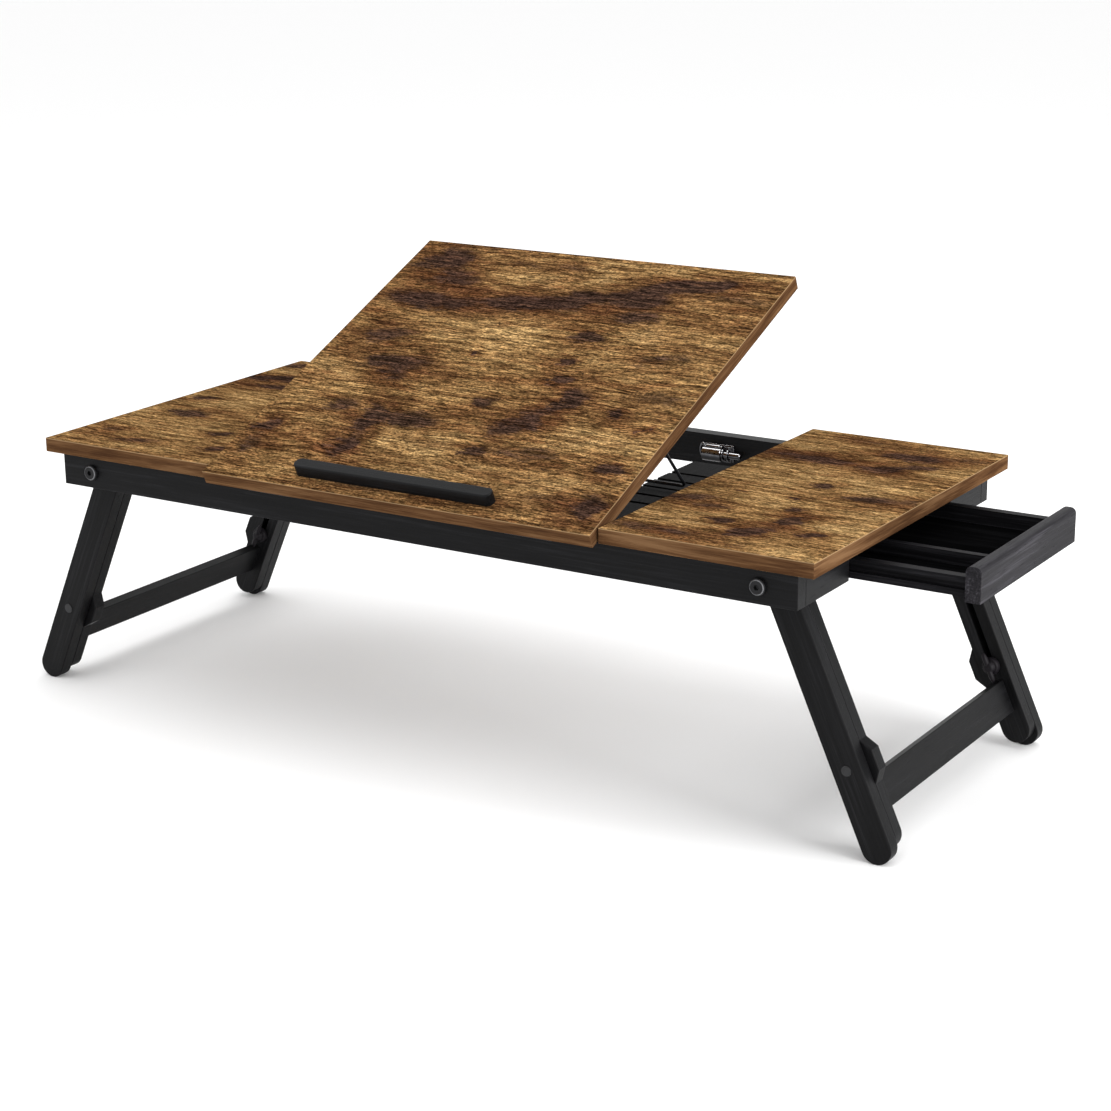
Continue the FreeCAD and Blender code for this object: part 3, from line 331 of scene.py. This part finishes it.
def rustic_wood(name, origin, turn, wide, deep, marks, seed):
    """Printed rustic wood with its grain along x, on a panel with its own frame at a front corner."""
    paint = Paint(name)
    place = paint.place(origin, turn)
    x, y, z = paint.parts(place)
    shift = (seed * 3.7, seed * 5.3, seed)
    back_shift = (seed * 2.1, seed * 7.9, seed + 3)
    clouds = paint.noise(paint.stretch(place, (10, 26, 4), shift), 4.0, 0.55, 0.5)
    patches = paint.noise(paint.stretch(place, (30, 95, 6), shift), 5.0, 0.65, 0.7)
    blots = paint.noise(paint.stretch(place, (80, 230, 8), back_shift), 4.0, 0.72, 0.5)
    drift = paint.noise(paint.stretch(place, (24, 50, 5), back_shift), 4.0, 0.6)
    waver = paint.noise(paint.stretch(place, (13, 20, 5), shift), 3.0, 0.5)
    wavy = paint.vector(x, y + (waver - 0.5) * 0.014, z)
    streaks = paint.noise(paint.stretch(wavy, (15, 210, 9), back_shift), 5.0, 0.68, 0.3)
    fibres = paint.noise(paint.stretch(wavy, (40, 480, 20), shift), 4.0, 0.72, 0.3)
    ripples = paint.noise(paint.stretch(wavy, (120, 800, 20), shift), 3.0, 0.6, 0.9)
    grit = paint.noise(paint.stretch(place, (420, 620, 40), back_shift), 2.0, 0.6)
    bent = paint.vector(x + (drift - 0.5) * 0.050 + (blots - 0.5) * 0.024,
                        y + (patches - 0.5) * 0.018 + (blots - 0.5) * 0.008, 0.0)
    core = 0.0
    around = 0.0
    for mark in marks:
        depth = mark[-1]
        reach = reach_of(paint, bent, wide, deep, mark)
        core = reach.step(1.45, 0.35, 0.0, depth) + core
        around = reach.step(2.9, 0.6, 0.0, abs(depth)) * (1 if depth > 0 else -0.6) + around
    ragged = (patches - 0.5) * 0.7 + (blots - 0.5) * 0.9 + (fibres - 0.5) * 0.7 + (streaks - 0.5) * 1.0
    dark = (core + ragged + (clouds - 0.5) * 1.1).step(0.16, 0.74)
    tone = (clouds - 0.5) * 1.0 + (patches - 0.5) * 0.8 + (blots - 0.5) * 0.55 + (streaks - 0.5) * 1.0
    tone = tone + 0.62 - around.at_most(1.1).at_least(-0.8) * 0.34
    base = paint.ramp(tone, ((0.10, RED_BROWN), (0.36, TAN), (0.64, GOLD), (1.0, HONEY)))
    ruddy_place = paint.stretch(place, (12, 60, 5), (shift[1], shift[0], 2.0))
    ruddy = paint.noise(ruddy_place, 5.0, 0.66, 0.5).step(0.48, 0.68)
    base = paint.mix(ruddy * 0.55, base, (*RUDDY, 1))
    dark_tone = paint.ramp(streaks * 0.5 + fibres * 0.5,
                           ((0.36, UMBER), (0.54, PURPLE_BROWN), (0.70, RED_BROWN)))
    base = paint.mix(dark * 0.92, base, dark_tone)
    lines = ripples.step(0.40, 0.58, 0.36, 1.42) * fibres.step(0.38, 0.60, 0.50, 1.32)
    lines = lines * streaks.step(0.38, 0.60, 0.68, 1.24) * grit.step(0.36, 0.60, 0.58, 1.36)
    base = paint.mix(1.0, base, paint.grey(lines), "MULTIPLY")
    crackle_place = paint.stretch(wavy, (56, 300, 12), (seed, 1.0, 4.0))
    crackle = paint.noise(crackle_place, 4.0, 0.7, 1.2).step(0.620, 0.67)
    crackle_zone = paint.noise(paint.stretch(place, (9, 15, 5), (4.0, seed, 1.0)), 3.0, 0.5).step(0.46, 0.60)
    specks = paint.cells(paint.stretch(place, (240, 330, 300))).step(0.28, 0.16)
    speck_zone = paint.noise(paint.stretch(place, (30, 60, 9), (2.0, 7.0, seed)), 3.0, 0.6).step(0.48, 0.62)
    flaws = (crackle * crackle_zone * 0.9).at_least(specks * speck_zone * 0.8)
    base = paint.mix(flaws, base, (*UMBER, 1))
    normal_x, _, normal_z = paint.facing(turn)
    band = edge_band(paint, x, y, z, normal_x, seed)
    side = normal_z.size().step(0.80, 0.60)
    colour = paint.mix(side, base, band)
    # Painted highlight: a pale gold line along the top of each edge face, where the rounded top edge would
    # catch light
    rim = z.step(-1.1 * MM, -0.5 * MM) * side
    colour = paint.mix(rim * 0.45, colour, (*PAINTED_EDGE_HIGHLIGHT, 1))
    roughness = 0.46 + (fibres - 0.5) * 0.22 + dark * 0.06
    height = fibres * 0.5 + ripples * 0.4 + grit * 0.2 - flaws * 0.9
    return paint.finish(colour, roughness, normal=paint.bump(height, 0.22 * MM, 0.5), specular=0.0)


def edge_band(paint, x, y, z, normal_x, seed):
    """The glued-on edge strip, with straight grain along each edge."""
    is_end = normal_x.size().step(0.4, 0.6)
    run = x + is_end * (y - x)
    line = paint.vector(run, z, seed)
    broad = paint.noise(paint.stretch(line, (9, 130, 1), (seed, 0, 0)), 4.0, 0.6, 0.3)
    fine = paint.noise(paint.stretch(line, (26, 900, 1), (seed, 3, 0)), 4.0, 0.7, 0.2)
    veins = paint.noise(paint.stretch(line, (14, 420, 1), (seed, 6, 0)), 3.0, 0.6, 0.6).step(0.60, 0.72)
    tone = (broad * 0.62 + fine * 0.38).step(0.34, 0.66)
    colour = paint.ramp(tone, ((0.0, EDGE_DARK), (0.5, EDGE_BROWN), (1.0, EDGE_LIGHT)))
    return paint.mix(veins * 0.6, colour, (*EDGE_VEIN, 1))


# Black stained wood, with its grain along one direction

STAIN = (0.0052, 0.0052, 0.0058)
PORE_BLACK = (0.004, 0.004, 0.005)


def stained_wood(name, turn, tint=STAIN, seed=1.0, gloss=0.10):
    """Black stain over open grain that runs along x of the turned frame."""
    paint = Paint(name)
    place = paint.place((0, 0, 0), turn)
    grain = paint.noise(paint.stretch(place, (14, 620, 620), (seed, seed, 0)), 4.0, 0.65, 0.4)
    broad = paint.noise(paint.stretch(place, (6, 70, 70), (seed, 2, 0)), 3.0, 0.55)
    pores = paint.noise(paint.stretch(place, (60, 1500, 1500), (seed, 4, 0)), 2.0, 0.6).step(0.58, 0.72)
    light = (grain * 0.65 + broad * 0.35).step(0.36, 0.68)
    low = tuple(0.50 * part for part in tint)
    high = tuple(2.40 * part for part in tint)
    colour = paint.ramp(light, ((0.0, low), (0.55, tint), (1.0, high)))
    colour = paint.mix(pores * 0.55, colour, (*PORE_BLACK, 1))
    roughness = 0.47 + (grain - 0.5) * 0.25 + pores * 0.12
    height = grain * 0.55 - pores * 0.7
    return paint.finish(colour, roughness, normal=paint.bump(height, 0.18 * MM, 0.5), specular=gloss)


# Metals and plastics

def moulded_plastic(name, colour, roughness, specular=0.5):
    paint = Paint(name)
    place = paint.place()
    grain = paint.noise(paint.stretch(place, (1800, 1800, 1800)), 3.0, 0.6)
    drift = paint.noise(paint.stretch(place, (90, 90, 90)), 2.0, 0.5)
    low = tuple(0.85 * part for part in colour)
    high = tuple(1.2 * part for part in colour)
    shade = paint.ramp(drift, ((0.3, low), (0.7, high)))
    height = grain + drift * 0.2
    rough = roughness + (drift - 0.5) * 0.16
    return paint.finish(shade, rough, normal=paint.bump(height, 0.06 * MM, 0.4), specular=specular)


def black_metal(name, colour, roughness, metallic):
    paint = Paint(name)
    place = paint.place()
    orange_peel = paint.noise(paint.stretch(place, (900, 900, 900)), 2.0, 0.5)
    wear = paint.noise(paint.stretch(place, (160, 160, 160)), 4.0, 0.6)
    shade = paint.ramp(wear, ((0.35, colour), (0.75, tuple(1.8 * part for part in colour))))
    rough = roughness + (wear - 0.5) * 0.2
    return paint.finish(shade, rough, metallic, paint.bump(orange_peel, 0.04 * MM, 0.3))


def bolt_painted_highlight(name, centres, low, high):
    """Black bolt heads with a painted highlight: a bright ring about each axis along y, from low to high
    radius, painted where light would catch the head's rim.
    """
    black, bright, blur = (0.008, 0.008, 0.009, 1), (0.20, 0.20, 0.21, 1), 0.5
    paint = Paint(name)
    place = paint.place()
    x, y, z = paint.parts(place)
    off = None
    for centre in centres:
        here = ((x - centre.x) ** 2.0 + (z - centre.z) ** 2.0) ** 0.5
        off = here if off is None else off.at_most(here)
    wear = paint.noise(paint.stretch(place, (420, 420, 420)), 3.0, 0.6)
    # Painted highlight ring on each head, made patchy by noise, with more metal and less roughness inside it
    highlight_ring = off.step(low * MM, (low + blur) * MM) * off.step((high + blur) * MM, high * MM)
    highlight_ring = highlight_ring * wear.step(0.30, 0.55, 0.55, 1.0)
    shade = paint.mix(highlight_ring, black, bright)
    roughness = 0.42 - highlight_ring * 0.16 + (wear - 0.5) * 0.2
    return paint.finish(shade, roughness, 0.3 + highlight_ring * 0.7, paint.bump(wear, 0.04 * MM, 0.3), specular=0.25)


def chrome_painted_reflection(name):
    """Chrome with a painted reflection: colour dark on faces turned down and bright on faces turned up, for
    the dark surroundings and bright studio it would reflect, with haze and fine scratches along x.
    """
    paint = Paint(name)
    place = paint.place()
    haze = paint.noise(paint.stretch(place, (240, 240, 240)), 4.0, 0.6)
    scratches = paint.noise(paint.stretch(place, (40, 1600, 1600)), 3.0, 0.6, 0.3)
    # Painted reflection and shade: the colour follows how far each face turns up, broken up by the haze noise
    upward = paint.facing()[2]
    lit = upward + (haze - 0.5) * 0.5
    shade = paint.ramp(lit * 0.5 + 0.5, ((0.22, (0.020, 0.020, 0.021)), (0.48, (0.050, 0.050, 0.053)),
                                         (0.66, (0.18, 0.18, 0.19)), (0.90, (0.74, 0.74, 0.76))))
    roughness = 0.14 + haze.step(0.4, 0.8) * 0.16 + scratches.step(0.55, 0.7) * 0.1
    return paint.finish(shade, roughness, 1.0, paint.bump(scratches, 0.03 * MM, 0.3))


# Materials of the nodes

def dress(node, material):
    slots = nodes[node].data.materials
    if len(slots) == 0:
        slots.append(material)
    for place in range(len(slots)):
        slots[place] = material


def panel_size(node):
    low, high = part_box(node)
    return high.x - low.x, high.y - low.y


def dress_panels():
    side_wide, side_deep = panel_size("panel_left")
    low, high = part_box("panel_left")
    corner = Vector((low.x, low.y, high.z))
    dress("panel_left", rustic_wood("rustic_left", corner, (0, 0, 0), side_wide, side_deep,
                                    LEFT_MARKS, 2.0))
    low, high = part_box("panel_right")
    corner = Vector((low.x, low.y, high.z))
    dress("panel_right", rustic_wood("rustic_right", corner, (0, 0, 0), side_wide, side_deep,
                                     RIGHT_MARKS, 5.0))
    low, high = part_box("panel_centre")
    top_above_hinge, front_before_hinge, centre_deep = 14.9 * MM, 6.4 * MM, 354 * MM
    tilt = Matrix.Rotation(TILT, 3, "X")
    corner = Vector((low.x, HINGE.y, HINGE.z)) + tilt @ Vector((0, -front_before_hinge, top_above_hinge))
    dress("panel_centre", rustic_wood("rustic_centre", corner, (TILT, 0, 0), high.x - low.x, centre_deep,
                                      CENTRE_MARKS, 1.0))


def dress_frame():
    across = (0, 0, math.radians(90))
    along_x = stained_wood("stain_along_x", (0, 0, 0), seed=1.0)
    along_y = stained_wood("stain_along_y", across, seed=2.0)
    lean = math.radians(90) - LEG_LEAN
    leg_right = stained_wood("stain_legs_right", (0, lean, 0), seed=3.0)
    leg_left = stained_wood("stain_legs_left", (0, -lean, 0), seed=4.0)
    drawer_x = stained_wood("stain_drawer_x", (0, 0, 0), (0.0088, 0.0086, 0.0098), seed=5.0, gloss=0.03)
    drawer_y = stained_wood("stain_drawer_y", across, (0.0215, 0.0205, 0.0235), seed=6.0, gloss=0.04)
    # Painted shade: the drawer bottom gets a far darker tint than the rest of the drawer, for the shade
    # inside it under the table
    drawer_bottom_painted_shade = stained_wood("stain_drawer_low", (0, 0, 0), (0.0022, 0.0022, 0.0024), seed=8.0, gloss=0.0)
    # Painted shade: the rack gets a darker tint than the frame's stain, for the shade under the panels where
    # it sits
    rack = stained_wood("stain_rack_painted_shade", across, (0.0036, 0.0036, 0.0040), seed=9.0, gloss=0.01)
    for name in nodes:
        if name.startswith("rack"):
            dress(name, rack)
        elif name.startswith(("rail_front", "rail_back", "drawer_runner")):
            dress(name, along_x)
        elif name.startswith(("rail_end", "crossbar")):
            dress(name, along_y)
        elif name.startswith(("leg_outer_right", "leg_inner_right")):
            dress(name, leg_right)
        elif name.startswith(("leg_outer_left", "leg_inner_left")):
            dress(name, leg_left)
        elif name in ("drawer_front", "drawer_back"):
            dress(name, drawer_y)
        elif name == "drawer_bottom":
            dress(name, drawer_bottom_painted_shade)
        elif name.startswith("drawer"):
            dress(name, drawer_x)


def dress_fittings():
    bolt = black_metal("bolt_black", (0.010, 0.010, 0.011), 0.40, 0.4)
    pivots = [Vector(joint["pos_m"]) for joint in frame["joints"] if joint["name"].startswith("fold")]
    # The pivot bolt heads carry a painted highlight ring
    pivot = bolt_painted_highlight("bolt_painted_highlight_ring", pivots, 4.9, 5.5)
    wire = black_metal("wire_black", (0.013, 0.013, 0.015), 0.40, 0.4)
    hinge_metal = black_metal("hinge_black", (0.016, 0.016, 0.018), 0.42, 0.5)
    knob = moulded_plastic("knob_black", (0.014, 0.014, 0.016), 0.46)
    spacer = moulded_plastic("spacer_black", (0.016, 0.016, 0.018), 0.55)
    chrome = chrome_painted_reflection("catch_chrome")
    dress("ledge", stained_wood("ledge_black", (TILT, 0, 0), (0.0040, 0.0042, 0.0048), seed=7.0, gloss=0.14))
    for name in nodes:
        if name == "pivot_bolts":
            dress(name, pivot)
        elif name.startswith(("pivot_nuts", "clamp_bolts")):
            dress(name, bolt)
        elif name.startswith("prop"):
            dress(name, wire)
        elif name.startswith("hinge"):
            dress(name, hinge_metal)
        elif name.startswith("wing_knob"):
            dress(name, knob)
        elif name == "leg_spacers":
            dress(name, spacer)
        elif name.startswith("catch"):
            dress(name, chrome)


# Pieces with more detail than their solids

class Piece:
    """A piece shaped with mesh operators, in mm of a frame that is placed on the object at the end."""

    def __init__(self, name):
        self.name = name
        self.form = bmesh.new()

    def add(self, part, shift=(0, 0, 0), scale=(1, 1, 1), turn=None):
        """Adds a finished part, scaled, turned and then shifted."""
        bmesh.ops.scale(part, vec=Vector(scale), verts=part.verts)
        if turn is not None:
            bmesh.ops.rotate(part, cent=(0, 0, 0), matrix=turn, verts=part.verts)
        bmesh.ops.translate(part, vec=Vector(shift), verts=part.verts)
        carrier = bpy.data.meshes.new("part")
        part.to_mesh(carrier)
        part.free()
        self.form.from_mesh(carrier)
        bpy.data.meshes.remove(carrier)

    def soften(self, part, width, sharper_than):
        edges = [edge for edge in part.edges if edge.calc_face_angle(0) > math.radians(sharper_than)]
        bmesh.ops.bevel(part, geom=edges, offset=width, offset_type="OFFSET", affect="EDGES",
                        segments=3, profile=0.5, material=-1, clamp_overlap=True)

    def block(self, low, high, width=0.4):
        part = bmesh.new()
        bmesh.ops.create_cube(part, size=1)
        bmesh.ops.scale(part, vec=Vector(high) - Vector(low), verts=part.verts)
        self.soften(part, width, 30)
        self.add(part, (Vector(low) + Vector(high)) / 2)

    def rod(self, start, end, radius, far_radius=None, width=0.3):
        axis = Vector(end) - Vector(start)
        part = bmesh.new()
        bmesh.ops.create_cone(part, cap_ends=True, segments=40, radius1=radius,
                              radius2=radius if far_radius is None else far_radius, depth=axis.length)
        self.soften(part, width, 50)
        self.add(part, (Vector(start) + Vector(end)) / 2, turn=axis.to_track_quat("Z", "Y").to_matrix())

    def spun(self, section, axis, shift, scale=(1, 1, 1)):
        """A closed section of (x, y) points turned once round an axis through the frame's origin."""
        part = bmesh.new()
        points = [part.verts.new((x, y, 0)) for x, y in section]
        edges = [part.edges.new((here, there)) for here, there in zip(points, points[1:] + points[:1])]
        bmesh.ops.spin(part, geom=points + edges, cent=(0, 0, 0), axis=axis, angle=math.radians(360),
                       steps=48, use_merge=True)
        self.add(part, shift, scale)

    def sleeve(self, start, stop, inner, outer, shift, tall, width=0.4):
        """A thick tube along x, stretched upwards about its axis."""
        section = ((start, inner), (start, outer - width), (start + width, outer),
                   (stop - width, outer), (stop, outer - width), (stop, inner))
        self.spun(section, (1, 0, 0), shift, (1, 1, tall))

    def finish(self, place, material, body, slot, node):
        """Places the piece, in metres, in front of the node it stands for."""
        bmesh.ops.transform(self.form, matrix=place, verts=self.form.verts)
        bmesh.ops.recalc_face_normals(self.form, faces=self.form.faces)
        mesh = bpy.data.meshes.new(self.name)
        self.form.to_mesh(mesh)
        self.form.free()
        mesh.materials.append(material)
        mesh.shade_smooth()
        mesh.set_sharp_from_angle(angle=math.radians(38))
        item = bpy.data.objects.new(self.name, mesh)
        bpy.context.scene.collection.objects.link(item)
        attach(item, body)
        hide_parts(node)


def catch_look(side, chrome):
    """The drawn chrome housing of a catch: x from its tab end, y out of the rail as minus, z up."""
    low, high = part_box("catch_body_" + side)
    start = low.x if side == "right" else high.x
    flip = 1 if side == "right" else -1
    place = (Matrix.Translation((start, high.y, (low.z + high.z) / 2))
             @ Matrix.Diagonal((flip * MM, MM, MM, 1)))
    rod_out, rod_up = -4.2, 5.6
    barrel_out, barrel_up, hollow = -5.6, -0.9, 3.1
    strap_back, strap_front, strap_low, strap_high = -1.0, -2.5, -7.3, 6.2
    eye_reach, eye_thick, eye_corners = 2.5, 0.75, 12
    piece = Piece("catch_housing_" + side)
    piece.block((4.5, -1.2, -7.5), (33.0, 0.0, 7.5), 0.5)
    piece.rod((8.0, rod_out, rod_up), (21.5, rod_out, rod_up), 1.9, width=0.8)
    piece.rod((21.5, rod_out, rod_up), (23.4, rod_out, rod_up), 1.3, width=0.5)
    for here, there in ((23.8, 24.9), (30.2, 31.4)):
        piece.block((here, strap_front, strap_low), (there, strap_back, strap_high), 0.3)
    for here, there in ((strap_low, -6.2), (5.1, strap_high)):
        piece.block((24.4, strap_front, here), (30.9, strap_back, there), 0.3)
    piece.rod((27.6, strap_back, 3.9), (27.6, -2.3, 3.9), 1.1, width=0.3)
    piece.sleeve(5.6, 23.6, hollow, 4.4, (0, barrel_out, barrel_up), 1.32)
    for here, there in ((24.6, 25.8), (29.6, 30.8)):
        piece.sleeve(here, there, hollow, 4.3, (0, barrel_out, 0), 1.15, 0.3)
    angles = [step * math.tau / eye_corners for step in range(eye_corners)]
    rim = [(eye_reach + eye_thick * math.cos(angle), eye_thick * math.sin(angle)) for angle in angles]
    piece.spun(rim, (0, 1, 0), (3.2, -1.6, 0.8), (1, 1, 2.1))
    piece.finish(place, chrome, "table", "catch_chrome", "catch_body_" + side)


def knob_look(side, end, plastic):
    """A wing knob: a domed hub under a blade that swells into two rounded wings."""
    node = "wing_knob_%s_%s" % (side, end)
    low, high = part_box(node)
    lean = -LEG_LEAN if side == "right" else LEG_LEAN
    away, base = (1, low.y) if end == "front" else (-1, high.y)
    wing_half = (2.2, 2.6, 6.4)
    place = (Matrix.Translation(((low.x + high.x) / 2, base, (low.z + high.z) / 2))
             @ Matrix.Rotation(lean, 4, "Y") @ Matrix.Diagonal((MM, away * MM, MM, 1)))
    piece = Piece("knob_" + side + "_" + end)
    piece.rod((0, 0.1, 0), (0, 4.6, 0), 7.6, 6.6, width=0.9)
    piece.rod((0, 4.0, 0), (0, 8.6, 0), 5.4, 3.4, width=0.9)
    for way in (-1, 1):
        wing = bmesh.new()
        bmesh.ops.create_uvsphere(wing, u_segments=32, v_segments=18, radius=1)
        piece.add(wing, (0, 6.8, way * wing_half[2]), wing_half)
    piece.finish(place, plastic, "knob_%s_%s" % (side, end), "knob_plastic", node)


aim_camera()
set_studio()
dress_panels()
dress_frame()
dress_fittings()
# Chrome of the catch housings, with the same painted reflection
catch_chrome = chrome_painted_reflection("housing_chrome")
knob_plastic = moulded_plastic("wing_black", (0.0075, 0.0062, 0.0080), 0.50, specular=0.14)
for side in ("left", "right"):
    catch_look(side, catch_chrome)
    for end in ("front", "back"):
        knob_look(side, end, knob_plastic)
